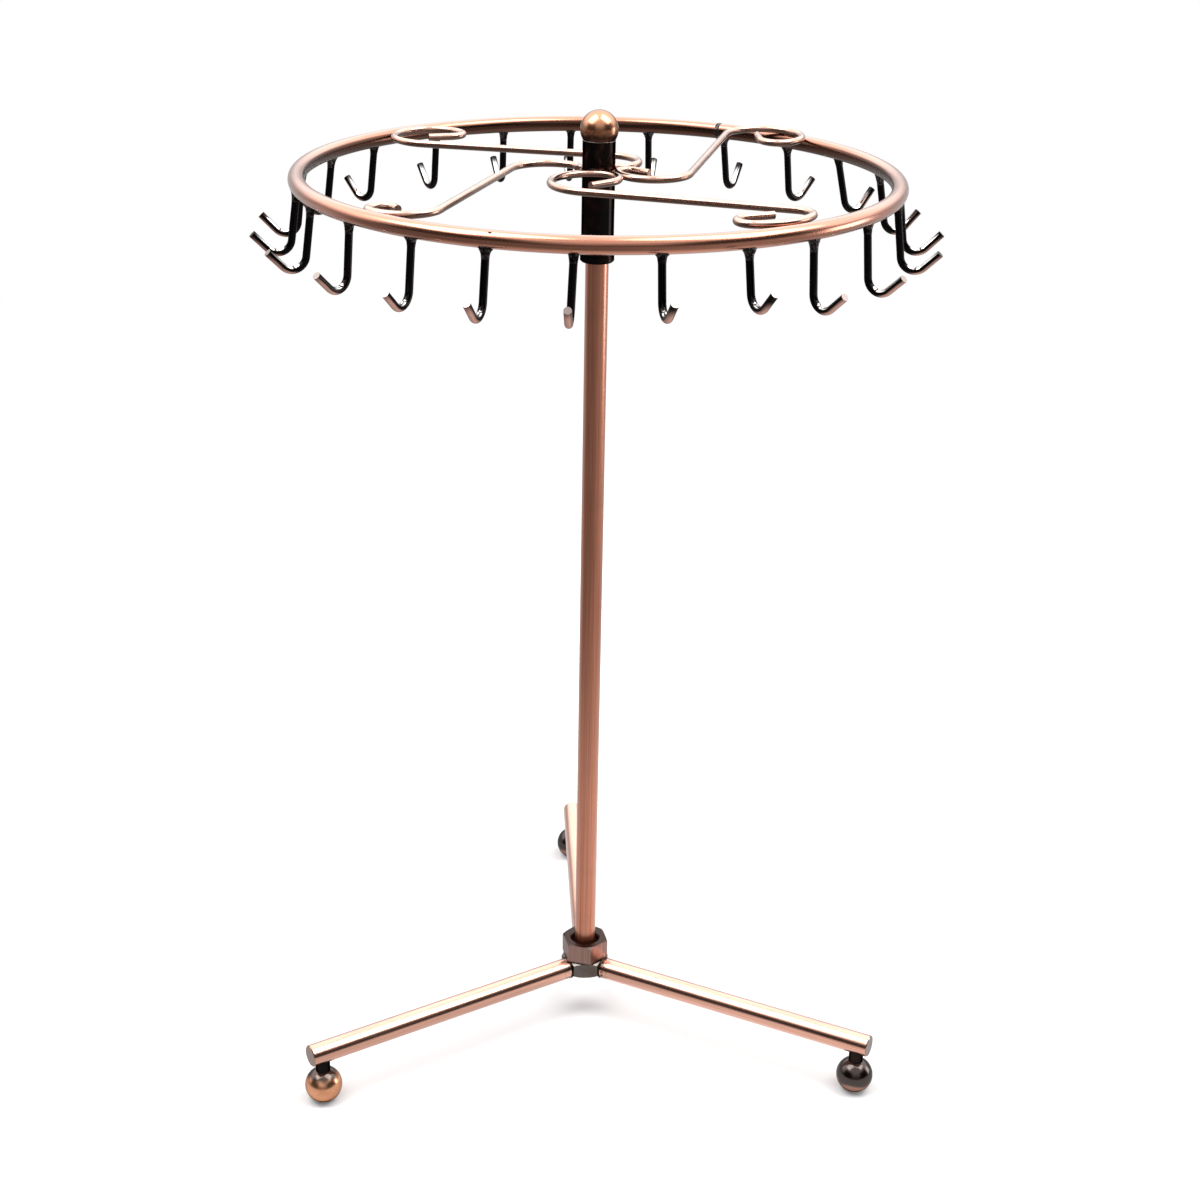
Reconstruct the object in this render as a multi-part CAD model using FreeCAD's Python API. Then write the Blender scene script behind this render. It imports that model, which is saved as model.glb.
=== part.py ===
import FreeCAD, Part
import math
import os

# Rotating hook stand: a tripod base with a fixed pole, and a ring of 23 hooks
# that spins freely on the pole's top.
# Origin: on the pole's axis, at the level of the surface it stands on.
# +Z up, and the rear leg points along +Y. Millimetres and degrees.

Vector = FreeCAD.Vector
UP = Vector(0, 0, 1)

# ---- base and pole -----------------------------------------------------
LEG_DIAMETER = 8.2
LEG_REACH = 120.3            # pole axis to the cut end of a leg
LEG_HEIGHT = 19.8            # axis of a leg above the table, at the hub
LEG_TILT = 0.6               # the legs rise a little outwards
LEG_AZIMUTHS = {"rear": 90.0, "left": 210.0, "right": 330.0}
LEG_END_CHAMFER = 0.3

HUB_ACROSS_FLATS = 16.0
HUB_BOTTOM = 17.6
HUB_HEIGHT = 6.1
HUB_CORNER_AZIMUTH = 0.0     # so that three flats face the legs

NUT_ACROSS_FLATS = 16.0
NUT_HEIGHT = 8.2
NUT_CORNER_AZIMUTH = 41.4
NUT_THREAD_DEPTH = 3.4
NUT_RECESS_DIAMETER = 10.8
NUT_MOUTH_DIAMETER = 11.8
HEX_CHAMFER = 1.1

POLE_DIAMETER = 8.0
POLE_TOP = 335.0
POLE_FOOT_CHAMFER = 0.8

BALL_DIAMETER = 13.8
BALL_REACH = 115.4           # pole axis to the centre of a foot ball
BALL_FLAT_DIAMETER = 3.0     # small ground flat that meets the table
STUD_DIAMETER = 5.4
STUD_IN_BALL = 5.9
STUD_IN_LEG = 4.0

# ---- rotating head -----------------------------------------------------
PIVOT_DIAMETER = 5.0
PIVOT_GAP = 0.1

SLEEVE_DIAMETER = 11.2
SLEEVE_BORE = 9.0
SLEEVE_BOTTOM = 306.9
SLEEVE_TOP = 345.4
BUSH_BORE = 8.1              # 0.05 mm of clearance all round the pole
BUSH_FLANGE_DIAMETER = 11.8
BUSH_FLANGE_HEIGHT = 2.4
LOWER_BUSH_DEPTH = 10.0
UPPER_BUSH_BOTTOM = 321.0
UPPER_BUSH_HEIGHT = 10.0

FINIAL_DIAMETER = 12.9
FINIAL_CENTRE = 349.0
SPIGOT_DIAMETER = 5.0
SPIGOT_LENGTH = 4.2

RING_RADIUS = 100.6          # to the wire's centre
RING_WIRE = 5.6
RING_HEIGHT = 333.5          # wire centre above the table

ARM_WIRE = 2.5
HOOK_WIRE = 2.5

# Hooks: bent alike, set by hand round the ring, so their spacing wanders.
HOOK_AZIMUTHS = [11, 28, 43, 59, 76, 93, 108, 124, 141, 156, 173, 190,
                 203, 218, 233.6, 248, 263, 277.5, 293, 307, 323, 341, 353]
HOOK_SHANK = 18.4            # ring centre to the start of the bend
HOOK_BEND = 4.6
HOOK_TURN = 127.5            # the bend's whole turn
HOOK_TIP = 7.1
HOOK_LEAN = 8.0              # the shanks splay outwards
WELD_FLARE_DIAMETER = 4.0
WELD_FLARE_DROP = 5.4        # ring centre to where the flare dies into the wire
# Hooks that stand visibly off the pattern: outward lean, sideways lean,
# twist about the shank, and how much longer the shank is.
HOOK_QUIRKS = {
    1: {"lean": 10, "side": -1, "longer": 0.8},
    2: {"lean": 12, "side": -4},
    3: {"twist": -5},
    4: {"lean": 11.5, "side": -1},
    7: {"lean": 10, "side": -2, "twist": -2},
    8: {"lean": 9, "side": -2, "twist": -7},
    9: {"twist": -4.5},
    11: {"lean": 7, "longer": 0.8},
    13: {"twist": 2},
    14: {"lean": 6, "side": 2, "twist": 9.5},
    15: {"lean": 6, "twist": 5},
    16: {"lean": 9},
    17: {"lean": 6, "side": -2, "longer": -0.6},
    18: {"lean": 9, "twist": 4.5, "longer": -2.0},
    19: {"lean": 10, "twist": 3, "longer": -2.6},
    20: {"lean": 5, "side": -1, "longer": 0.7},
    21: {"lean": 5.5, "side": -1, "twist": -5.5, "longer": 0.6},
    22: {"lean": 7.5, "twist": -2, "longer": 1.0},
}

# Scroll arms: a straight run between two curls that both turn to the right.
# Each is drawn as if its outer end pointed to the front right, then turned to
# its quarter. "inner" and "outer" list bends as (radius, turn), from the run
# outwards, and "tails" are the straight lengths after the last bend. "lift" is
# the wire's height above the ring's centre at the hub, and "rise" is how much
# it climbs along the run.
SCROLL_ARMS = {
    "scroll_arm_front_right": {
        "quarter": 0, "start": (-4.69, -37.25), "heading": -20.2, "run": 70.12,
        "inner": [(16.8, 103), (12.5, 74), (8.0, 121)],
        "outer": [(6.7, 94), (20.5, 64), (5.2, 160)],
        "tails": (9.0, 9.3), "lift": 2.0, "rise": 0.8},
    "scroll_arm_back_right": {
        "quarter": 90, "start": (-3.88, -30.7), "heading": -13.0, "run": 69.06,
        "inner": [(12.9, 95), (11.2, 70), (3.4, 127)],
        "outer": [(14.2, 97), (13.5, 125), (6.3, 122)],
        "tails": (6.3, 8.4), "lift": 2.0, "rise": 1.4},
    "scroll_arm_back_left": {
        "quarter": 180, "start": (-3.66, -24.01), "heading": -14.5, "run": 67.85,
        "inner": [(13.3, 82), (8.5, 76)],
        "outer": [(16.1, 109), (12.2, 123), (5.2, 100)],
        "tails": (1.7, 8.2), "lift": 2.6, "rise": -0.6},
    "scroll_arm_front_left": {
        "quarter": 270, "start": (-0.89, -29.29), "heading": -16.3, "run": 67.63,
        "inner": [(12.0, 27), (13.4, 85), (5.3, 80)],
        "outer": [(11.7, 82), (12.6, 45), (4.4, 190)],
        "tails": (0.0, 2.0), "lift": 2.0, "rise": -0.4},
}
HEAD_TURN = -3.2             # of the head against the base, as it stands at rest


# ---- small geometry helpers --------------------------------------------
def polar(radius, azimuth, z=0.0):
    angle = math.radians(azimuth)
    return Vector(radius * math.cos(angle), radius * math.sin(angle), z)


def cylinder(diameter, bottom, top, centre=Vector(0, 0, 0)):
    base = Vector(centre.x, centre.y, bottom)
    return Part.makeCylinder(diameter / 2, top - bottom, base, UP)


def tube(outer, inner, bottom, top):
    return cylinder(outer, bottom, top).cut(cylinder(inner, bottom - 1, top + 1))


def revolved(profile):
    """A solid of revolution about Z from (radius, z) corners."""
    points = [Vector(radius, 0, z) for radius, z in profile]
    face = Part.Face(Part.makePolygon(points + [points[0]]))
    return face.revolve(Vector(0, 0, 0), UP, 360)


def hexagon(across_flats, bottom, height, corner_azimuth):
    """A hexagonal prism with its corners chamfered at both ends, as a nut's are."""
    corner = across_flats / math.sqrt(3)
    points = [polar(corner, corner_azimuth + 60 * k, bottom) for k in range(7)]
    prism = Part.Face(Part.makePolygon(points)).extrude(Vector(0, 0, height))
    top = bottom + height
    drop = HEX_CHAMFER * math.tan(math.radians(30))
    turned = revolved([
        (0, bottom), (corner - HEX_CHAMFER, bottom), (corner, bottom + drop),
        (corner, top - drop), (corner - HEX_CHAMFER, top), (0, top)])
    return prism.common(turned)


def heading_vector(heading):
    return polar(1.0, heading)


def right_bends(start, heading, bends, tail):
    """Tangent arcs that turn right from a start point, then a straight tail.

    Returns the edges and the last point."""
    edges = []
    point = start
    for radius, turn in bends:
        to_centre = heading_vector(heading - 90)
        centre = point + to_centre * radius
        middle = centre - heading_vector(heading - turn / 2 - 90) * radius
        heading -= turn
        end = centre - heading_vector(heading - 90) * radius
        edges.append(Part.Arc(point, middle, end).toShape())
        point = end
    if tail > 0:
        end = point + heading_vector(heading) * tail
        edges.append(Part.LineSegment(point, end).toShape())
        point = end
    return edges, point


def round_wire(path, diameter, start, direction):
    """A round wire of constant diameter along a path of tangent edges."""
    section = Part.Wire(Part.makeCircle(diameter / 2, start, direction))
    return path.makePipeShell([section], True, False)


# ---- base ----------------------------------------------------------------
def base_hub():
    hub = hexagon(HUB_ACROSS_FLATS, HUB_BOTTOM, HUB_HEIGHT, HUB_CORNER_AZIMUTH)
    return hub.cut(cylinder(POLE_DIAMETER, HUB_BOTTOM - 1, HUB_BOTTOM + HUB_HEIGHT + 1))


def lock_nut():
    """Hexagon nut, threaded at the bottom only and recessed round the pole above."""
    bottom = HUB_BOTTOM + HUB_HEIGHT
    top = bottom + NUT_HEIGHT
    mouth_depth = (NUT_MOUTH_DIAMETER - NUT_RECESS_DIAMETER) / 2
    recess = revolved([
        (0, bottom + NUT_THREAD_DEPTH), (NUT_RECESS_DIAMETER / 2, bottom + NUT_THREAD_DEPTH),
        (NUT_RECESS_DIAMETER / 2, top - mouth_depth), (NUT_MOUTH_DIAMETER / 2, top), (0, top)])
    nut = hexagon(NUT_ACROSS_FLATS, bottom, NUT_HEIGHT, NUT_CORNER_AZIMUTH)
    return nut.cut(recess).cut(cylinder(POLE_DIAMETER, bottom - 1, top + 1))


def pole():
    """Round rod with a cone in its top end that seats the pivot ball."""
    radius = POLE_DIAMETER / 2
    seat = PIVOT_DIAMETER / 2 * math.sqrt(2) - (pivot_centre() - POLE_TOP)
    return revolved([
        (0, HUB_BOTTOM), (radius - POLE_FOOT_CHAMFER, HUB_BOTTOM),
        (radius, HUB_BOTTOM + POLE_FOOT_CHAMFER), (radius, POLE_TOP),
        (seat, POLE_TOP), (0, POLE_TOP - seat)])


def leg(azimuth):
    """Round rod from a flat of the hub, with a blind hole below for its foot stud."""
    flat = HUB_ACROSS_FLATS / 2
    length = LEG_REACH - flat + 1.0
    rod = Part.makeCylinder(LEG_DIAMETER / 2, length, Vector(flat - 1, 0, LEG_HEIGHT),
                            Vector(1, 0, 0))
    rim = [edge for edge in rod.Edges if edge.BoundBox.XMin > flat - 1 + length - 0.01]
    rod = rod.makeChamfer(LEG_END_CHAMFER, rim)
    rod.rotate(Vector(flat, 0, LEG_HEIGHT), Vector(0, -1, 0), LEG_TILT)
    inside_hub = Part.makeBox(flat, LEG_DIAMETER, 2 * LEG_DIAMETER,
                              Vector(0, -LEG_DIAMETER / 2, LEG_HEIGHT - LEG_DIAMETER))
    rod = rod.cut(inside_hub)
    rod.rotate(Vector(0, 0, 0), UP, azimuth)
    return rod.cut(foot_stud(azimuth))


def ball_centre_height():
    radius = BALL_DIAMETER / 2
    return math.sqrt(radius ** 2 - (BALL_FLAT_DIAMETER / 2) ** 2)


def foot_ball(azimuth):
    radius = BALL_DIAMETER / 2
    centre = polar(BALL_REACH, azimuth, ball_centre_height())
    ball = Part.makeSphere(radius, centre)
    below = Part.makeBox(BALL_DIAMETER, BALL_DIAMETER, radius,
                         Vector(centre.x - radius, centre.y - radius, -radius))
    return ball.cut(below).cut(foot_stud(azimuth))


def foot_stud(azimuth):
    """Plain pin from inside the ball to inside the leg; a short neck of it shows."""
    ball_top = ball_centre_height() + BALL_DIAMETER / 2
    rise = (BALL_REACH - HUB_ACROSS_FLATS / 2) * math.tan(math.radians(LEG_TILT))
    leg_underside = LEG_HEIGHT + rise - LEG_DIAMETER / 2
    return cylinder(STUD_DIAMETER, ball_top - STUD_IN_BALL, leg_underside + STUD_IN_LEG,
                    polar(BALL_REACH, azimuth))


# ---- bearing ---------------------------------------------------------------
def pivot_centre():
    """The ball stands one millimetre proud of the pole's end at its centre."""
    return POLE_TOP + 1.0


def thrust_underside():
    return pivot_centre() + PIVOT_DIAMETER / 2 + PIVOT_GAP


def pivot_ball():
    return Part.makeSphere(PIVOT_DIAMETER / 2, Vector(0, 0, pivot_centre()))


def hub_sleeve():
    return tube(SLEEVE_DIAMETER, SLEEVE_BORE, SLEEVE_BOTTOM, SLEEVE_TOP)


def lower_bush():
    """Flanged bush that closes the sleeve's foot and runs on the pole."""
    flange_bottom = SLEEVE_BOTTOM - BUSH_FLANGE_HEIGHT
    edge = 0.5
    outer = BUSH_FLANGE_DIAMETER / 2
    body = revolved([
        (0, flange_bottom), (outer - edge, flange_bottom), (outer, flange_bottom + edge),
        (outer, SLEEVE_BOTTOM), (SLEEVE_BORE / 2, SLEEVE_BOTTOM),
        (SLEEVE_BORE / 2, SLEEVE_BOTTOM + LOWER_BUSH_DEPTH), (0, SLEEVE_BOTTOM + LOWER_BUSH_DEPTH)])
    return body.cut(cylinder(BUSH_BORE, flange_bottom - 1, SLEEVE_TOP))


def upper_bush():
    return tube(SLEEVE_BORE, BUSH_BORE, UPPER_BUSH_BOTTOM, UPPER_BUSH_BOTTOM + UPPER_BUSH_HEIGHT)


def thrust_cap():
    """Plug in the sleeve's top: its underside rides on the ball, the finial screws in above."""
    plug = cylinder(SLEEVE_BORE, thrust_underside(), SLEEVE_TOP)
    return plug.cut(cylinder(SPIGOT_DIAMETER, SLEEVE_TOP - SPIGOT_LENGTH, SLEEVE_TOP + 1))


def finial():
    """Ball knob, flat where it meets the sleeve, with a spigot below."""
    ball = Part.makeSphere(FINIAL_DIAMETER / 2, Vector(0, 0, FINIAL_CENTRE))
    ball = ball.cut(cylinder(FINIAL_DIAMETER, SLEEVE_TOP - FINIAL_DIAMETER, SLEEVE_TOP))
    spigot = cylinder(SPIGOT_DIAMETER, SLEEVE_TOP - SPIGOT_LENGTH, FINIAL_CENTRE)
    return ball.fuse(spigot).removeSplitter()


# ---- ring, hooks and arms ----------------------------------------------
def ring():
    return Part.makeTorus(RING_RADIUS, RING_WIRE / 2, Vector(0, 0, RING_HEIGHT), UP)


def hook_path(longer):
    """Centreline of a hook in the XZ plane: down from the ring, round and out."""
    turn = math.radians(HOOK_TURN)
    bottom = -(HOOK_SHANK + longer)

    def on_bend(angle):
        return Vector(HOOK_BEND * (1 - math.cos(angle)), 0, bottom - HOOK_BEND * math.sin(angle))

    bend_end = on_bend(turn)
    tip = bend_end + Vector(math.sin(turn), 0, -math.cos(turn)) * HOOK_TIP
    return Part.Wire([
        Part.LineSegment(Vector(0, 0, 0), Vector(0, 0, bottom)).toShape(),
        Part.Arc(Vector(0, 0, bottom), on_bend(turn / 2), bend_end).toShape(),
        Part.LineSegment(bend_end, tip).toShape()])


def hook(number, ring_shape):
    """One hook with the upset collar of its weld, seated on the underside of the ring."""
    quirk = HOOK_QUIRKS.get(number, {})
    wire = round_wire(hook_path(quirk.get("longer", 0.0)), HOOK_WIRE,
                      Vector(0, 0, 0), Vector(0, 0, -1))
    flare = Part.makeCone(HOOK_WIRE / 2, WELD_FLARE_DIAMETER / 2, WELD_FLARE_DROP,
                          Vector(0, 0, -WELD_FLARE_DROP), UP)
    shape = wire.fuse(flare)
    shape.rotate(Vector(0, 0, 0), UP, quirk.get("twist", 0.0))
    shape.rotate(Vector(0, 0, 0), Vector(0, -1, 0), quirk.get("lean", HOOK_LEAN))
    shape.rotate(Vector(0, 0, 0), Vector(1, 0, 0), quirk.get("side", 0.0))
    shape.translate(Vector(RING_RADIUS, 0, RING_HEIGHT))
    shape.rotate(Vector(0, 0, 0), UP, HOOK_AZIMUTHS[number - 1])
    return largest_solid(shape.cut(ring_shape))


def largest_solid(shape):
    return max(shape.Solids, key=lambda solid: solid.Volume)


def scroll_arm(arm, ring_shape, sleeve_shape):
    """One scroll, notched where it is welded to the ring and the sleeve."""
    start = Vector(arm["start"][0], arm["start"][1], 0)
    heading = arm["heading"]
    run_end = start + heading_vector(heading) * arm["run"]
    inner, inner_end = right_bends(start, heading + 180, arm["inner"], arm["tails"][0])
    outer, outer_end = right_bends(run_end, heading, arm["outer"], arm["tails"][1])
    run = Part.LineSegment(start, run_end).toShape()
    path = Part.Wire(Part.sortEdges(inner + [run] + outer)[0])
    first = path.OrderedEdges[0]
    begin = first.valueAt(first.FirstParameter)
    shape = round_wire(path, ARM_WIRE, begin, first.tangentAt(first.FirstParameter))
    tilt = math.degrees(math.atan2(arm["rise"], arm["run"]))
    across = heading_vector(heading - 90)
    shape.rotate(Vector(0, 0, 0), across, tilt)
    shape.rotate(Vector(0, 0, 0), UP, arm["quarter"] + HEAD_TURN)
    shape.translate(Vector(0, 0, RING_HEIGHT + arm["lift"]))
    return largest_solid(shape.cut(ring_shape).cut(sleeve_shape))


# ---- everything ------------------------------------------------------------
def all_parts():
    parts = {
        "base_hub": base_hub(),
        "lock_nut": lock_nut(),
        "pole": pole(),
        "pivot_ball": pivot_ball(),
        "hub_sleeve": hub_sleeve(),
        "lower_bush": lower_bush(),
        "upper_bush": upper_bush(),
        "thrust_cap": thrust_cap(),
        "finial": finial(),
        "hook_ring": ring(),
    }
    for side, azimuth in LEG_AZIMUTHS.items():
        parts["leg_" + side] = leg(azimuth)
        parts["foot_ball_" + side] = foot_ball(azimuth)
        parts["foot_stud_" + side] = foot_stud(azimuth)
    for name, arm in SCROLL_ARMS.items():
        parts[name] = scroll_arm(arm, parts["hook_ring"], parts["hub_sleeve"])
    for number in range(1, len(HOOK_AZIMUTHS) + 1):
        parts["hook_%02d" % number] = hook(number, parts["hook_ring"])
    return parts


def main():
    os.makedirs("parts", exist_ok=True)
    for name, shape in all_parts().items():
        shape.exportStep("parts/%s.step" % name)
        print("%-24s solids %d valid %s volume %.1f mm3"
              % (name, len(shape.Solids), shape.isValid(), shape.Volume))


main()
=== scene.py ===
import math
import random

import bmesh
import bpy
from mathutils import Matrix, Vector, noise


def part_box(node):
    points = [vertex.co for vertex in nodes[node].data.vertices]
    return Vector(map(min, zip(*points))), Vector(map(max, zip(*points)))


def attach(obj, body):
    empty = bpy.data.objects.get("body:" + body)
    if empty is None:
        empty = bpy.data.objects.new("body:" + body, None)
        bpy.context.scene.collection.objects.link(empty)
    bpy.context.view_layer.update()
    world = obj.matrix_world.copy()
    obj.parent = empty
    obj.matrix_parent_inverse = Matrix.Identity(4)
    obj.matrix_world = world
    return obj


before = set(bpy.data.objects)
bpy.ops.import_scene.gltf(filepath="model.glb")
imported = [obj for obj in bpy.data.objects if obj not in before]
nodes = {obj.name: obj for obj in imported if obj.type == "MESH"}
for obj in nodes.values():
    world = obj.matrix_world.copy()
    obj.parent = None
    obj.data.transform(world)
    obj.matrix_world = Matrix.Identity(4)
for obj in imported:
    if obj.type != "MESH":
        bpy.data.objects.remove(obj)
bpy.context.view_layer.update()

HOOKS = sorted(name for name in nodes if name.startswith("hook_") and name != "hook_ring")
ARMS = sorted(name for name in nodes if name.startswith("scroll_arm"))
LEGS = {"rear": 90.0, "left": 210.0, "right": 330.0}
UP = Vector((0, 0, 1))


# ---- where things are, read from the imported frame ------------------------
def polar(radius, azimuth, z):
    turn = math.radians(azimuth)
    return Vector((radius * math.cos(turn), radius * math.sin(turn), z))


def half_width(node):
    low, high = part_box(node)
    return (high.x - low.x) / 2


ring_low, ring_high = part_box("hook_ring")
RING_Z = (ring_low.z + ring_high.z) / 2
RING_TUBE = (ring_high.z - ring_low.z) / 2
RING_R = half_width("hook_ring") - RING_TUBE
SLEEVE_R = half_width("hub_sleeve")
SLEEVE_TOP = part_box("hub_sleeve")[1].z
LEG_R = half_width("leg_rear")
hub_low, hub_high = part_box("base_hub")
HUB_FLAT = (hub_high.y - hub_low.y) / 2
HUB_Z = (hub_low.z + hub_high.z) / 2
KNOB_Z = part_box("finial")[1].z - half_width("finial")
BALL_FOOT, BALL_TOP = (corner.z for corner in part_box("foot_ball_left"))


def mean_point(node, lowest, highest):
    """The middle of a node's vertices between two heights."""
    found = [v.co for v in nodes[node].data.vertices if lowest < v.co.z < highest]
    return sum(found, Vector()) / len(found)


HOOK_TOP = 0.0008       # metres below the ring's underside, where a hook's top is read


def hook_azimuth(name):
    """The hook's azimuth, from where its shank meets the ring."""
    centre = mean_point(name, RING_Z - RING_TUBE - HOOK_TOP, RING_Z)
    return math.degrees(math.atan2(centre.y, centre.x))


HOOK_AZIMUTHS = {name: hook_azimuth(name) for name in HOOKS}


# ---- node-graph helpers ------------------------------------------------
class Graph:
    """Adds and joins the shader nodes of one material or world."""

    def __init__(self, owner):
        owner.use_nodes = True
        self.owner = owner
        self.tree = owner.node_tree
        self.tree.nodes.clear()
        self.coords = self.tree.nodes.new("ShaderNodeTexCoord")

    @classmethod
    def of_material(cls, name):
        return cls(bpy.data.materials.new(name))

    def node(self, kind, inputs=(), **settings):
        made = self.tree.nodes.new("ShaderNode" + kind)
        for key, value in settings.items():
            setattr(made, key, value)
        for key, value in dict(inputs).items():
            self.put(made.inputs[key], value)
        return made

    def put(self, socket, value):
        if isinstance(value, bpy.types.NodeSocket):
            self.tree.links.new(value, socket)
        elif isinstance(value, bpy.types.Node):
            self.tree.links.new(value.outputs[0], socket)
        else:
            socket.default_value = value

    def math(self, operation, first, second=0.0):
        return self.node("Math", {0: first, 1: second}, operation=operation).outputs[0]

    def total(self, *terms):
        """The sum of value-and-share pairs."""
        summed = None
        for value, share in terms:
            part = self.math("MULTIPLY", value, share)
            summed = part if summed is None else self.math("ADD", summed, part)
        return summed

    def ramp(self, value, low, high, at_low=0.0, at_high=1.0):
        """at_low at low, at_high at high, smooth between; low may be the larger."""
        made = self.node("MapRange", {"Value": value, "From Min": low, "From Max": high,
                                      "To Min": at_low, "To Max": at_high},
                         interpolation_type="SMOOTHSTEP")
        return made.outputs["Result"]

    def mix(self, share, first, second):
        made = self.node("Mix", data_type="RGBA")
        self.put(made.inputs["Factor"], share)
        self.put(made.inputs["A"], first)
        self.put(made.inputs["B"], second)
        return made.outputs["Result"]

    def blend(self, share, first, second):
        """Like mix, for plain numbers."""
        made = self.node("Mix", data_type="FLOAT")
        for socket, value in zip((0, 2, 3), (share, first, second)):
            self.put(made.inputs[socket], value)
        return made.outputs[0]

    def noise(self, vector, scale, detail=3.0, rough=0.55):
        return self.node("TexNoise", {"Vector": vector, "Scale": scale, "Detail": detail,
                                      "Roughness": rough}).outputs["Fac"]

    def split(self, vector):
        return self.node("SeparateXYZ", {0: vector}).outputs

    def place(self):
        return self.coords.outputs["Object"]

    def normal(self):
        return self.coords.outputs["Normal"]

    def height(self):
        return self.split(self.place())["Z"]

    def from_axis(self, x, y):
        """Distance from the pole's axis."""
        return self.math("SQRT", self.math("ADD", self.math("MULTIPLY", x, x),
                                           self.math("MULTIPLY", y, y)))

    def along(self, vector, direction):
        return self.node("VectorMath", {0: vector, 1: direction},
                         operation="DOT_PRODUCT").outputs["Value"]

    def stretched(self, scale, turn=0.0):
        """Object coordinates turned about Z by -turn degrees, then scaled per axis."""
        turned = self.node("VectorRotate", {"Vector": self.place(), "Angle": -math.radians(turn)},
                           rotation_type="Z_AXIS").outputs[0]
        return self.node("VectorMath", {0: turned, 1: scale}, operation="MULTIPLY").outputs[0]

    def metal(self, colour, rough, bump, depth, coat=0.0, rim=1.0, coat_rough=0.2):
        """rim is how brightly the metal mirrors at a glancing angle, depth the bump's metres."""
        shader = self.node("BsdfPrincipled", {"Base Color": colour, "Roughness": rough,
                                              "Metallic": 1.0, "Coat Weight": coat,
                                              "Coat Roughness": coat_rough,
                                              "Coat IOR": LACQUER_IOR,
                                              "Specular Tint": rgb(rim, rim, rim)})
        bumped = self.node("Bump", {"Height": bump, "Strength": 1.0, "Distance": depth})
        self.put(shader.inputs["Normal"], bumped.outputs[0])
        self.node("OutputMaterial", {"Surface": shader.outputs[0]})
        return self.owner


def rgb(red, green, blue):
    return (red, green, blue, 1.0)


LACQUER_IOR = 1.7
COPPER = rgb(0.66, 0.245, 0.135)
COPPER_WORKED = rgb(0.52, 0.17, 0.085)
COPPER_DEEP = rgb(0.42, 0.17, 0.09)
UMBER = rgb(0.10, 0.045, 0.03)
SOOT = rgb(0.03, 0.02, 0.016)
BLACKENED = rgb(0.012, 0.010, 0.010)
GUNMETAL = rgb(0.15, 0.13, 0.12)
BRONZE = rgb(0.45, 0.30, 0.14)
BRONZE_DARK = rgb(0.25, 0.15, 0.07)
STEEL = rgb(0.6, 0.6, 0.62)
SILVER = rgb(0.86, 0.84, 0.81)
WHITE = rgb(1.0, 1.0, 1.0)


# ---- metals --------------------------------------------------------------
def satin_copper(name, streaks, patina=0.35, rough=0.30, body=COPPER, worked=COPPER_WORKED,
                 dark_parts=None, dark_tone=UMBER, lacquer=1.0, gloss=None,
                 relief=0.00002, rim=1.0, coat_rough=0.2):
    """Brushed antique copper. streaks maps a graph to stretched coordinates, dark_parts
    to how far it is darker there, from patina and painted shade, and gloss, if given, to the
    lacquer."""
    g = Graph.of_material(name)
    brush = g.noise(streaks(g), 1.0, 4.0, 0.6)
    clouds = g.noise(g.place(), 55.0, 4.0)
    freckles = g.noise(g.place(), 900.0, 2.0, 0.7)
    tone = g.mix(g.ramp(brush, 0.32, 0.68), worked, body)
    aged = g.math("MULTIPLY", g.ramp(clouds, 0.50, 0.72), patina)
    tone = g.mix(aged, tone, UMBER)
    pits = g.math("MULTIPLY", g.ramp(freckles, 0.72, 0.80), min(0.5, 2 * patina))
    tone = g.mix(pits, tone, UMBER)
    coat = lacquer
    if dark_parts is not None:
        dark_share = dark_parts(g)
        tone = g.mix(dark_share, tone, dark_tone)
        coat = g.math("MULTIPLY", g.math("SUBTRACT", 1.0, dark_share), lacquer)
    if gloss is not None:
        coat = gloss(g)
    roughness = g.math("ADD", g.math("MULTIPLY", brush, 0.12), rough - 0.06)
    surface = g.math("SUBTRACT", g.math("MULTIPLY", brush, 0.5), pits)
    return g.metal(tone, roughness, surface, relief, coat, rim, coat_rough)


def dark_metal(name, base, warm, rough=0.16, warmth=0.5, rim=0.35):
    """Blackened copper with brown showing through unevenly, and fine scratches."""
    g = Graph.of_material(name)
    clouds = g.noise(g.place(), 160.0, 4.0)
    scratches = g.noise(upright(g), 1.0, 3.0)
    tone = g.mix(g.math("MULTIPLY", g.ramp(clouds, 0.45, 0.7), warmth), base, warm)
    tone = g.mix(g.math("MULTIPLY", g.ramp(scratches, 0.62, 0.75), 0.3), tone, warm)
    roughness = g.math("ADD", g.math("MULTIPLY", clouds, 0.14), rough - 0.05)
    return g.metal(tone, roughness, scratches, 0.00001, rim=rim)


def weld_metal(name, tone, fleck):
    g = Graph.of_material(name)
    lumps = g.noise(g.place(), 1500.0, 4.0, 0.65)
    colour = g.mix(g.ramp(lumps, 0.40, 0.72), tone, fleck)
    roughness = g.math("ADD", g.math("MULTIPLY", lumps, 0.3), 0.18)
    return g.metal(colour, roughness, lumps, 0.00003)


HOOK_TIP_COPPER = rgb(0.60, 0.35, 0.29)
HOOK_CUT = rgb(0.36, 0.30, 0.28)
HOOK_SLAG = rgb(0.30, 0.28, 0.27)
TIP_STARTS, TIP_CLEAR = 0.0052, 0.0085      # metres outside the ring's centre line
CUT_STARTS, CUT_FULL = 0.009, 0.010
SADDLE_STARTS, SADDLE_FULL = 0.0022, 0.0045
BEND_STARTS, BEND_FULL = 0.0150, 0.0195     # metres below the ring
SLAG_ENDS, SLAG_FULL = 0.0075, 0.0035


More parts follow.
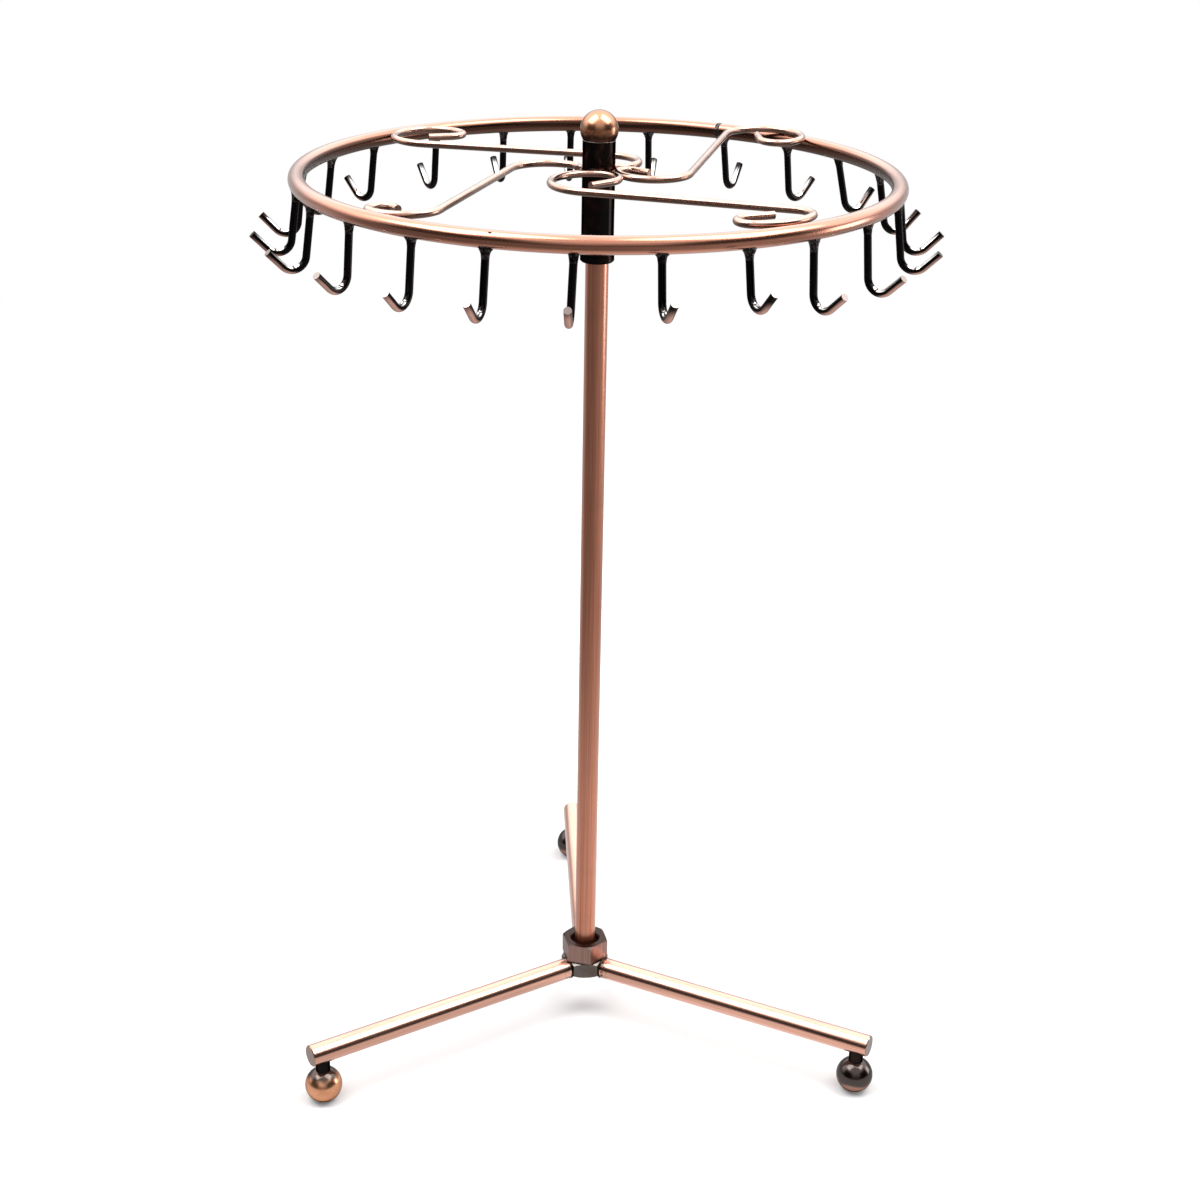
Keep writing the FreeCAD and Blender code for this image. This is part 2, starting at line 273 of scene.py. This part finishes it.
def hook_metal(name):
    """Blackened shank, copper-coloured on the tip's outer underside, and a painted highlight of
    silver lines on the saddle, where things hang.
    """
    g = Graph.of_material(name)
    x, y, z = g.split(g.place())
    nx, ny, nz = g.split(g.normal())
    away = g.from_axis(x, y)
    outward = g.math("DIVIDE", g.math("ADD", g.math("MULTIPLY", nx, x),
                                      g.math("MULTIPLY", ny, y)), away)
    sideways = g.math("DIVIDE", g.math("SUBTRACT", g.math("MULTIPLY", ny, x),
                                       g.math("MULTIPLY", nx, y)), away)
    grain = g.math("SUBTRACT", g.noise(g.place(), 800.0, 3.0), 0.5)
    low = g.ramp(z, RING_Z - BEND_STARTS, RING_Z - BEND_FULL)
    tip = g.math("MULTIPLY", g.ramp(away, RING_R + TIP_STARTS, RING_R + TIP_CLEAR), low)
    # copper-coloured where the tip faces outward and down
    under = g.total((outward, 0.62), (nz, -0.78), (grain, 0.25))
    tip_copper = g.math("MULTIPLY", tip, g.ramp(under, 0.05, 0.45))
    end = g.total((outward, 0.72), (nz, 0.69))
    cut = g.math("MULTIPLY", g.ramp(away, RING_R + CUT_STARTS, RING_R + CUT_FULL),
                 g.ramp(end, 0.955, 0.975))
    saddle = g.math("MULTIPLY", low,
                    g.ramp(away, RING_R + SADDLE_STARTS, RING_R + SADDLE_FULL))
    facing = g.total((nz, 0.85), (outward, -0.35))
    lines = g.noise(g.node("CombineXYZ", {0: g.math("MULTIPLY", sideways, 5.0),
                                          1: g.math("MULTIPLY", away, 25.0)}).outputs[0],
                    1.0, 2.0, 0.5)
    # painted highlight: silver lines where the saddle faces up and inward, in place of the
    # overhead light's reflection
    band = g.math("MULTIPLY", g.ramp(facing, 0.40, 0.58), g.ramp(facing, 0.96, 0.84))
    painted_highlight = g.math("MULTIPLY", g.math("MULTIPLY", saddle, band), g.ramp(lines, 0.34, 0.50))
    scale = g.ramp(g.noise(g.place(), 2600.0, 2.0), 0.62, 0.72)
    top = g.ramp(z, RING_Z - SLAG_ENDS, RING_Z - SLAG_FULL)
    slag = g.math("MULTIPLY", g.math("MULTIPLY", scale, top), 0.5)
    tone = g.mix(tip_copper, BLACKENED, HOOK_TIP_COPPER)
    tone = g.mix(painted_highlight, tone, SILVER)
    tone = g.mix(cut, tone, HOOK_CUT)
    tone = g.mix(slag, tone, HOOK_SLAG)
    roughness = g.math("ADD", g.total((tip_copper, 0.20), (slag, 0.4)), 0.10)
    return g.metal(tone, roughness, slag, 0.000008, rim=0.6)


# ---- where copper is darker, from patina and painted shade ---------------
def underside(reach):
    """Painted shade: dark where the surface faces down; reach is how dark the very bottom is."""
    def mask(g):
        return g.math("MULTIPLY", g.ramp(g.split(g.normal())["Z"], 0.45, -0.45), reach)
    return mask


def ring_inside(g):
    """Patina and painted shade: dark on the ring's underside, and higher up on its inner face."""
    x, y, _ = g.split(g.place())
    nx, ny, nz = g.split(g.normal())
    outward = g.math("DIVIDE", g.math("ADD", g.math("MULTIPLY", nx, x),
                                      g.math("MULTIPLY", ny, y)), g.from_axis(x, y))
    shade = g.total((nz, 0.6), (g.math("MINIMUM", outward, 0.0), 1.2))
    return g.math("MULTIPLY", g.ramp(shade, -0.40, -0.75), 0.9)


def leg_ends(azimuth):
    """Bare on the cut end, and scorched in patches where the leg is welded to the hub."""
    def mask(g):
        out = polar(1, azimuth, 0)
        facing = g.along(g.normal(), out)
        patches = g.ramp(g.noise(g.place(), 750.0, 2.0), 0.42, 0.56)
        near_hub = g.ramp(g.along(g.place(), out), HUB_FLAT + 0.005, HUB_FLAT + 0.001)
        scorch = g.math("MULTIPLY", near_hub, patches)
        return g.math("MULTIPLY", g.math("MAXIMUM", g.ramp(facing, 0.5, 0.9), scorch), 0.92)
    return mask


def ball_top_dark_and_foot_shade(foot, top, fade):
    """Dark above a height, round the stud, and painted shade at the foot, where the ball mirrors
    its own contact shadow.
    """
    def mask(g):
        height = g.height()
        wander = g.math("MULTIPLY", g.math("SUBTRACT", g.noise(g.place(), 200.0, 1.0), 0.5),
                        0.004)
        above = g.ramp(g.math("ADD", height, wander), top, top + fade)
        # painted shade: the ball's lowest band, standing in for its mirrored contact shadow
        foot_shade = g.ramp(height, foot + 0.0036, foot + 0.0023)
        return g.math("MULTIPLY", g.math("MAXIMUM", above, foot_shade), 0.97)
    return mask


def ball_gloss(foot, most):
    """Polished everywhere but near the table."""
    def lacquer(g):
        return g.math("MULTIPLY", g.ramp(g.height(), foot + 0.0030, foot + 0.0060), most)
    return lacquer


def below(unchanged_above, dark, reach):
    """Darker below one height, unchanged above another."""
    def mask(g):
        return g.math("MULTIPLY", g.ramp(g.height(), unchanged_above, dark), reach)
    return mask


def nut_dark_top_and_corner_shade(low):
    """Dark on the chamfered top, and painted shade in the corner at the bottom."""
    def mask(g):
        corner = g.ramp(g.height(), low + 0.0011, low + 0.0004)
        top = g.ramp(g.split(g.normal())["Z"], 0.25, 0.6)
        return g.math("MULTIPLY", g.math("MAXIMUM", top, corner), 0.9)
    return mask


# ---- which way the brushing runs -----------------------------------------
def upright(g):
    return g.stretched((2200.0, 2200.0, 22.0))


def round_ring(g):
    """Streaks that run along the ring: angle, distance from the axis, height."""
    x, y, z = g.split(g.place())
    return g.node("CombineXYZ", {0: g.math("MULTIPLY", g.math("ARCTAN2", y, x), 4.0),
                                 1: g.math("MULTIPLY", g.from_axis(x, y), 1900.0),
                                 2: g.math("MULTIPLY", z, 1900.0)}).outputs[0]


def fine(g):
    return g.stretched((420.0, 420.0, 1300.0))


def slow(g):
    """Soft drifts instead of streaks, for the small smooth parts."""
    return g.stretched((110.0, 110.0, 160.0))


def along_leg(azimuth):
    return lambda g: g.stretched((25.0, 1900.0, 1900.0), azimuth)


# ---- finishes for the CAD nodes ------------------------------------------
def finish_node(name, material):
    for material_slot in nodes[name].material_slots:
        material_slot.material = material


def finish_pole_and_ring():
    finish_node("pole", satin_copper("copper_pole", upright, patina=0.12, rough=0.33))
    # The ring's underside and inner face are darkened by patina and by painted shade.
    finish_node("hook_ring", satin_copper(
        "copper_ring", round_ring, patina=0.06, rough=0.22,
        body=rgb(0.60, 0.225, 0.125), worked=rgb(0.45, 0.15, 0.08),
        dark_parts=ring_inside, dark_tone=rgb(0.05, 0.026, 0.018)))


def finish_finial_and_nut():
    finish_node("finial", satin_copper(
        "copper_finial", slow, patina=0.04, rough=0.25,
        body=rgb(0.52, 0.215, 0.095), worked=rgb(0.46, 0.185, 0.08),
        dark_parts=below(KNOB_Z + 0.0012, KNOB_Z - 0.0022, 0.95),
        dark_tone=rgb(0.03, 0.016, 0.012), rim=0.25))
    finish_node("lock_nut", satin_copper(
        "copper_nut", upright, patina=0.6, rough=0.28, lacquer=0.5,
        body=rgb(0.34, 0.20, 0.17), worked=rgb(0.26, 0.14, 0.11),
        dark_parts=nut_dark_top_and_corner_shade(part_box("lock_nut")[0].z),
        dark_tone=rgb(0.03, 0.025, 0.023), rim=0.4))


def finish_arms():
    # The wire's dark underside is painted shade.
    copper_wire = satin_copper(
        "copper_wire", slow, patina=0.04, rough=0.22, relief=0.000004,
        body=rgb(0.60, 0.36, 0.265), worked=rgb(0.48, 0.26, 0.185),
        dark_parts=underside(0.85), dark_tone=rgb(0.06, 0.032, 0.024))
    for name in ARMS:
        finish_node(name, copper_wire)


def finish_legs():
    """Each leg has its own material, because its brushing follows the leg."""
    stud_black = dark_metal("black_stud", BLACKENED, SOOT)
    for side, azimuth in LEGS.items():
        cut_end = rgb(0.05, 0.045, 0.042) if side == "right" else rgb(0.26, 0.20, 0.17)
        finish_node("leg_" + side, satin_copper(
            "copper_leg_" + side, along_leg(azimuth), patina=0.08, rough=0.20,
            body=rgb(0.80, 0.42, 0.31), worked=rgb(0.70, 0.33, 0.22),
            dark_parts=leg_ends(azimuth), dark_tone=cut_end))
        finish_node("foot_stud_" + side, stud_black)


def finish_feet():
    """The left ball is bright copper, and the other two are nearly black."""
    finish_node("foot_ball_left", satin_copper(
        "copper_ball", slow, patina=0.1, rough=0.24,
        body=rgb(0.95, 0.45, 0.24), worked=rgb(0.78, 0.32, 0.15),
        dark_parts=ball_top_dark_and_foot_shade(BALL_FOOT, BALL_TOP - 0.0034, 0.0022),
        dark_tone=rgb(0.025, 0.013, 0.009), rim=0.25,
        gloss=ball_gloss(BALL_FOOT, 0.7), coat_rough=0.09))
    # The brown body shows only in a band just above the foot: a painted warm reflection under the
    # nearly black upper ball.
    gunmetal = satin_copper(
        "gunmetal_ball", slow, patina=0.2, rough=0.22,
        body=rgb(0.42, 0.23, 0.17), worked=rgb(0.30, 0.15, 0.11),
        dark_parts=ball_top_dark_and_foot_shade(BALL_FOOT, BALL_FOOT + 0.0044, 0.0022),
        dark_tone=rgb(0.032, 0.021, 0.018), rim=0.3,
        gloss=ball_gloss(BALL_FOOT, 0.55), coat_rough=0.07)
    for side in ("rear", "right"):
        finish_node("foot_ball_" + side, gunmetal)


def finish_hub_and_bearings():
    finish_node("base_hub", dark_metal("gunmetal_hub", GUNMETAL, UMBER, rough=0.26, rim=1.0))
    finish_node("hub_sleeve", dark_metal("black_sleeve", BLACKENED, rgb(0.10, 0.035, 0.022),
                                         warmth=0.25))
    finish_node("lower_bush", dark_metal("black_bush", BLACKENED, SOOT, rough=0.2))


def finish_hooks():
    hook_black = hook_metal("hook_black")
    for name in HOOKS:
        finish_node(name, hook_black)


def finish_hidden_parts():
    hidden_bronze = dark_metal("bush_bronze", BRONZE, BRONZE_DARK, rough=0.3)
    for name in ("upper_bush", "thrust_cap"):
        finish_node(name, hidden_bronze)
    finish_node("pivot_ball", dark_metal("ball_steel", STEEL, SILVER, rough=0.12))


finish_pole_and_ring()
finish_finial_and_nut()
finish_arms()
finish_legs()
finish_feet()
finish_hub_and_bearings()
finish_hooks()
finish_hidden_parts()


# ---- weld metal and other small pieces ----------------------------------
def new_piece(name, bm, material, body):
    mesh = bpy.data.meshes.new(name)
    bmesh.ops.recalc_face_normals(bm, faces=bm.faces)
    bm.to_mesh(mesh)
    bm.free()
    for polygon in mesh.polygons:
        polygon.use_smooth = True
    piece = bpy.data.objects.new(name, mesh)
    bpy.context.scene.collection.objects.link(piece)
    piece.data.materials.append(material)
    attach(piece, body)


def lump(point, amount, scale):
    """A signed unevenness at a point, the same every run."""
    return noise.noise(Vector(point) * scale) * amount


def skin(rows, caps=False, closed=False):
    """Joins rows of points, each a loop of the same count. caps fills the first and the
    last row, and closed merges them where they lie on each other."""
    bm = bmesh.new()
    rings = [[bm.verts.new(point) for point in row] for row in rows]
    count = len(rings[0])
    for lower, upper in zip(rings, rings[1:]):
        for k in range(count):
            j = (k + 1) % count
            bm.faces.new((lower[k], lower[j], upper[j], upper[k]))
    if caps:
        bm.faces.new(rings[0])
        bm.faces.new(rings[-1])
    if closed:
        bmesh.ops.remove_doubles(bm, verts=bm.verts, dist=1e-6)
    return bm


hook_weld = weld_metal("hook_weld", BLACKENED, rgb(0.16, 0.14, 0.13))
copper_weld = weld_metal("copper_weld", UMBER, COPPER_DEEP)
leg_weld = weld_metal("leg_weld", BLACKENED, UMBER)

COLLAR_ROWS, COLLAR_POINTS = 9, 28
COLLAR_INNER_R = 0.00128                    # just outside the hook's wire
SHANK_STARTS, SHANK_ENDS = 0.0045, 0.0085   # metres below the ring's centre line
SUNK = 0.0002                               # how deep the collar starts inside the ring


def weld_collar(name, index):
    """A lumpy fillet that runs from the ring's underside down onto the shank."""
    azimuth = HOOK_AZIMUTHS[name]
    top = polar(RING_R, azimuth, RING_Z)
    out, side = polar(1, azimuth, 0), polar(1, azimuth + 90, 0)
    shank = mean_point(name, RING_Z - SHANK_ENDS, RING_Z - SHANK_STARTS)
    down = (shank - top).normalized()
    rng = random.Random(100 + index)
    spread_side = 0.0019 + rng.uniform(-0.0003, 0.0006)
    spread_out = 0.0018 + rng.uniform(-0.0002, 0.0002)
    length = 0.0052 + rng.uniform(-0.0008, 0.0010)
    rows = []
    for i in range(COLLAR_ROWS):
        t = i / (COLLAR_ROWS - 1)
        fall = (1 - t) ** 2.1
        row = []
        for k in range(COLLAR_POINTS):
            a = math.tau * k / COLLAR_POINTS
            wide = COLLAR_INNER_R
            wide += (spread_side - COLLAR_INNER_R) * fall * abs(math.sin(a)) ** 1.2
            wide += (spread_out - COLLAR_INNER_R) * fall * abs(math.cos(a)) ** 1.2
            flat = out * math.cos(a) * wide + side * math.sin(a) * wide
            surface = math.sqrt(max(RING_TUBE ** 2 - flat.dot(out) ** 2, 0.0)) - SUNK
            drop = surface + (length - surface) * t
            point = top + flat + down * drop
            point += flat.normalized() * lump(point, 0.00022 * fall + 0.00006, 1300.0)
            row.append(point)
        rows.append(row)
    new_piece("hook_weld_%02d" % index, skin(rows, caps=True), hook_weld, "head")


def blob(name, centre, size, material, body, seed):
    """An uneven bead of weld metal: size is its half-lengths as a 3 by 3 matrix's columns."""
    bm = bmesh.new()
    bmesh.ops.create_icosphere(bm, subdivisions=3, radius=1.0)
    shift = Vector((seed * 1.7, seed * 0.9, seed * 2.3))
    for v in bm.verts:
        p = v.co.copy()
        uneven = 1.0 + 0.16 * noise.noise(p * 1.6 + shift) + 0.07 * noise.noise(p * 4.0 + shift)
        v.co = centre + size @ (p * uneven)
    new_piece(name, bm, material, body)


def bead_size(azimuth, out, across, up):
    """A blob's half-lengths away from the pole, round it and upwards."""
    rows = (polar(1, azimuth, 0) * out, polar(1, azimuth + 90, 0) * across, UP * up)
    return Matrix(rows).transposed()


def nearest_point(mesh, score):
    return min((v.co for v in mesh.vertices), key=score).copy()


def arm_welds():
    """A bead at both ends of every arm."""
    for index, name in enumerate(ARMS, 1):
        mesh = nodes[name].data
        at_ring = nearest_point(mesh, lambda p: math.hypot(
            math.hypot(p.x, p.y) - RING_R, p.z - RING_Z))
        at_hub = nearest_point(mesh, lambda p: math.hypot(p.x, p.y))
        for kind, spot, long, seed in (("ring", at_ring, 0.0035, index),
                                       ("hub", at_hub, 0.0032, index + 10)):
            azimuth = math.degrees(math.atan2(spot.y, spot.x))
            size = bead_size(azimuth, out=0.0009, across=long, up=0.0010)
            blob("%s_weld_%d" % (kind, index), spot, size, copper_weld, "head",
                 seed)


LEG_BEAD, FLAT_BEAD = 0.00025, 0.0004       # the bead's radius, fuller against the hub's flat
FLAT_HALF_WIDTH, FLAT_HALF_HEIGHT = 0.0049, 0.0033
LEG_BEAD_STEPS, LEG_BEAD_POINTS = 72, 10


def leg_welds():
    """One bead all round each leg's root."""
    for side, azimuth in LEGS.items():
        leg_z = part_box("leg_" + side)[0].z + LEG_R
        out, across = polar(1, azimuth, 0), polar(1, azimuth + 90, 0)
        rows = []
        for k in range(LEG_BEAD_STEPS + 1):
            a = math.tau * k / LEG_BEAD_STEPS
            centre = out * (HUB_FLAT + 0.0002) + UP * leg_z
            spoke = across * math.cos(a) + UP * math.sin(a)
            on_flat = (abs(spoke.z * LEG_R + leg_z - HUB_Z) < FLAT_HALF_HEIGHT
                       and abs(math.cos(a)) * LEG_R < FLAT_HALF_WIDTH)
            bead = FLAT_BEAD if on_flat else LEG_BEAD
            row = []
            for j in range(LEG_BEAD_POINTS):
                b = math.tau * j / LEG_BEAD_POINTS
                p = centre + spoke * (LEG_R + bead * math.cos(b)) + out * (bead * math.sin(b))
                row.append(p + spoke * lump(p, 0.0001, 1100.0))
            rows.append(row)
        new_piece("leg_weld_" + side, skin(rows, closed=True), leg_weld, "base")


SEAM_BEAD = 0.00022                         # the bead's radius
SEAM_STEPS, SEAM_POINTS = 96, 10


def finial_seam():
    """A thin, slightly uneven bead all the way round the sleeve's top edge."""
    seam_copper = satin_copper("copper_seam", fine, patina=0.3, rough=0.3,
                               body=rgb(0.10, 0.055, 0.04), worked=rgb(0.07, 0.035, 0.026),
                               rim=0.3)
    rows = []
    for k in range(SEAM_STEPS + 1):
        a = math.tau * k / SEAM_STEPS
        spoke = Vector((math.cos(a), math.sin(a), 0))
        centre = spoke * (SLEEVE_R - 0.0002) + UP * SLEEVE_TOP
        tube = SEAM_BEAD * (1 + 0.15 * noise.noise(centre * 400.0))
        turns = [math.tau * j / SEAM_POINTS for j in range(SEAM_POINTS)]
        rows.append([centre + spoke * (tube * math.cos(b)) + UP * (tube * math.sin(b))
                     for b in turns])
    new_piece("finial_seam", skin(rows, closed=True), seam_copper, "head")


JOINT_AZIMUTH, CRATER_AZIMUTH = 60.0, 249.0
JOINT_STEPS, JOINT_POINTS = 7, 40
JOINT_HALF_LENGTH, JOINT_SWELL = 0.0009, 0.00022


def ring_joint():
    """The bead where the ring's ends are joined."""
    along, out = polar(1, JOINT_AZIMUTH + 90, 0), polar(1, JOINT_AZIMUTH, 0)
    rows = []
    for step in range(JOINT_STEPS):
        a = math.pi * (step + 0.5) / JOINT_STEPS
        radius = RING_TUBE + JOINT_SWELL * math.sin(a)
        centre = polar(RING_R, JOINT_AZIMUTH, RING_Z) + along * (-JOINT_HALF_LENGTH * math.cos(a))
        row = []
        for k in range(JOINT_POINTS):
            b = math.tau * k / JOINT_POINTS
            p = centre + (out * math.cos(b) + UP * math.sin(b)) * radius
            row.append(p + (p - centre).normalized() * lump(p, 0.00008, 1500.0))
        rows.append(row)
    new_piece("ring_joint", skin(rows), hook_weld, "head")


def ring_crater():
    """A dark speck that a spark left on the ring's upper outer side."""
    spot = polar(RING_R + RING_TUBE * 0.55, CRATER_AZIMUTH, RING_Z + RING_TUBE * 0.82)
    size = bead_size(CRATER_AZIMUTH, out=0.0004, across=0.0006, up=0.0003)
    blob("ring_crater", spot, size, hook_weld, "head", seed=31)


for index, name in enumerate(HOOKS, 1):
    weld_collar(name, index)
arm_welds()
leg_welds()
finial_seam()
ring_joint()
ring_crater()


# ---- stage: floor, light and camera ---------------------------------------
FLOOR_HALF_SIZE = 12.0
NEAR_ENDS, NEAR_FULL = 0.42, 0.10           # metres from the axis, as polished metal sees it
PAPER_ENDS, GLOW_FULL = 0.30, 1.2           # metres from the axis, as the camera sees it


def floor_material():
    """White paper. Polished metal sees it bright near the object and darker further out."""
    g = Graph.of_material("white_paper")
    x, y, _ = g.split(g.place())
    away = g.from_axis(x, y)
    grain = g.noise(g.place(), 900.0, 3.0)
    paper = g.mix(g.math("MULTIPLY", grain, 0.05), rgb(0.93, 0.93, 0.93), rgb(0.88, 0.88, 0.89))
    white = g.node("BsdfDiffuse", {"Color": paper, "Roughness": 0.6})
    near = g.ramp(away, NEAR_ENDS, NEAR_FULL)
    behind = g.math("MULTIPLY", g.ramp(g.math("DIVIDE", y, away), -0.1, 0.5), 0.55)
    beside = g.ramp(g.math("DIVIDE", x, away), -0.3, 0.9)
    far = g.math("MAXIMUM", g.math("ADD", g.math("MULTIPLY", beside, 0.22), 0.22), behind)
    close = g.math("ADD", g.math("MULTIPLY", beside, 0.25), 0.75)
    level = g.math("ADD", far, g.math("MULTIPLY", near, g.math("SUBTRACT", close, far)))
    mirrored = g.node("Emission", {"Color": rgb(1.0, 0.98, 0.97), "Strength": level})
    path = g.node("LightPath").outputs
    glow = g.node("Emission", {"Color": WHITE, "Strength": 1.0})
    seen = g.math("MULTIPLY", g.ramp(away, PAPER_ENDS, GLOW_FULL), path["Is Camera Ray"])
    backdrop = g.node("MixShader", {0: seen, 1: white, 2: glow})
    both = g.node("MixShader", {0: path["Is Glossy Ray"], 1: backdrop, 2: mirrored})
    g.node("OutputMaterial", {"Surface": both})
    return g.owner


def make_floor():
    bm = bmesh.new()
    bmesh.ops.create_grid(bm, x_segments=8, y_segments=8, size=FLOOR_HALF_SIZE)
    mesh = bpy.data.meshes.new("floor")
    bm.to_mesh(mesh)
    bm.free()
    floor = bpy.data.objects.new("floor", mesh)
    bpy.context.scene.collection.objects.link(floor)
    floor.data.materials.append(floor_material())


def area_light(name, at, towards_z, size, power):
    """A rectangular card of light that faces the pole at one height."""
    data = bpy.data.lights.new(name, "AREA")
    data.shape = "RECTANGLE"
    data.size, data.size_y = size
    data.energy = power
    lamp = bpy.data.objects.new(name, data)
    bpy.context.scene.collection.objects.link(lamp)
    lamp.location = at
    lamp.rotation_euler = (UP * towards_z - Vector(at)).to_track_quat("-Z", "Y").to_euler()
    lamp.visible_camera = False


def make_world():
    """White all round; polished metal sees it bright behind and above, dark in front."""
    world = bpy.data.worlds.new("studio")
    bpy.context.scene.world = world
    g = Graph(world)
    x, y, z = g.split(g.coords.outputs["Generated"])
    middle_front = g.ramp(z, 0.05, 0.75, at_low=0.18, at_high=1.1)
    side_front = g.ramp(z, 0.48, 0.85, at_low=0.03, at_high=1.8)
    beside = g.ramp(g.math("ABSOLUTE", x), 0.25, 0.6)
    front = g.blend(beside, middle_front, side_front)
    back = g.ramp(z, 0.05, 0.50, at_low=0.50, at_high=2.3)
    level = g.blend(g.ramp(y, -0.25, 0.20), front, back)
    path = g.node("LightPath").outputs
    plain = g.blend(path["Is Diffuse Ray"], 1.0, 0.6)
    strength = g.blend(path["Is Glossy Ray"], plain, level)
    room = g.node("Background", {"Color": WHITE, "Strength": strength})
    g.node("OutputWorld", {0: room})


LENS = 58.2                                 # millimetres, on a 36 mm wide sensor
EYE = (-0.0369, -0.6539, 0.4632)
HEADING, LOOKING_DOWN, ROLL = 3.52, 23.53, 1.14     # degrees


def make_camera():
    """Looks down on the stand from the front and a little to the left."""
    data = bpy.data.cameras.new("camera")
    data.sensor_width = 36.0
    data.lens = LENS
    data.clip_start = 0.05
    data.clip_end = 60.0
    camera = bpy.data.objects.new("camera", data)
    bpy.context.scene.collection.objects.link(camera)
    turn = (Matrix.Rotation(-math.radians(HEADING), 4, "Z")
            @ Matrix.Rotation(math.radians(90.0 - LOOKING_DOWN), 4, "X")
            @ Matrix.Rotation(math.radians(ROLL), 4, "Z"))
    camera.matrix_world = Matrix.Translation(EYE) @ turn
    bpy.context.scene.camera = camera


make_floor()
for side, sign in (("left", -1), ("right", 1)):
    area_light("soft_" + side, (sign * 0.62, -0.15, 1.35), towards_z=0.25, size=(0.75, 1.0),
               power=13.0)
area_light("card_right", (0.95, 0.05, 0.22), towards_z=0.18, size=(0.35, 0.42), power=2.0)
make_world()
make_camera()
view = bpy.context.scene.view_settings
view.view_transform = "Standard"
view.look = "None"
view.exposure = 0.0
view.gamma = 1.0
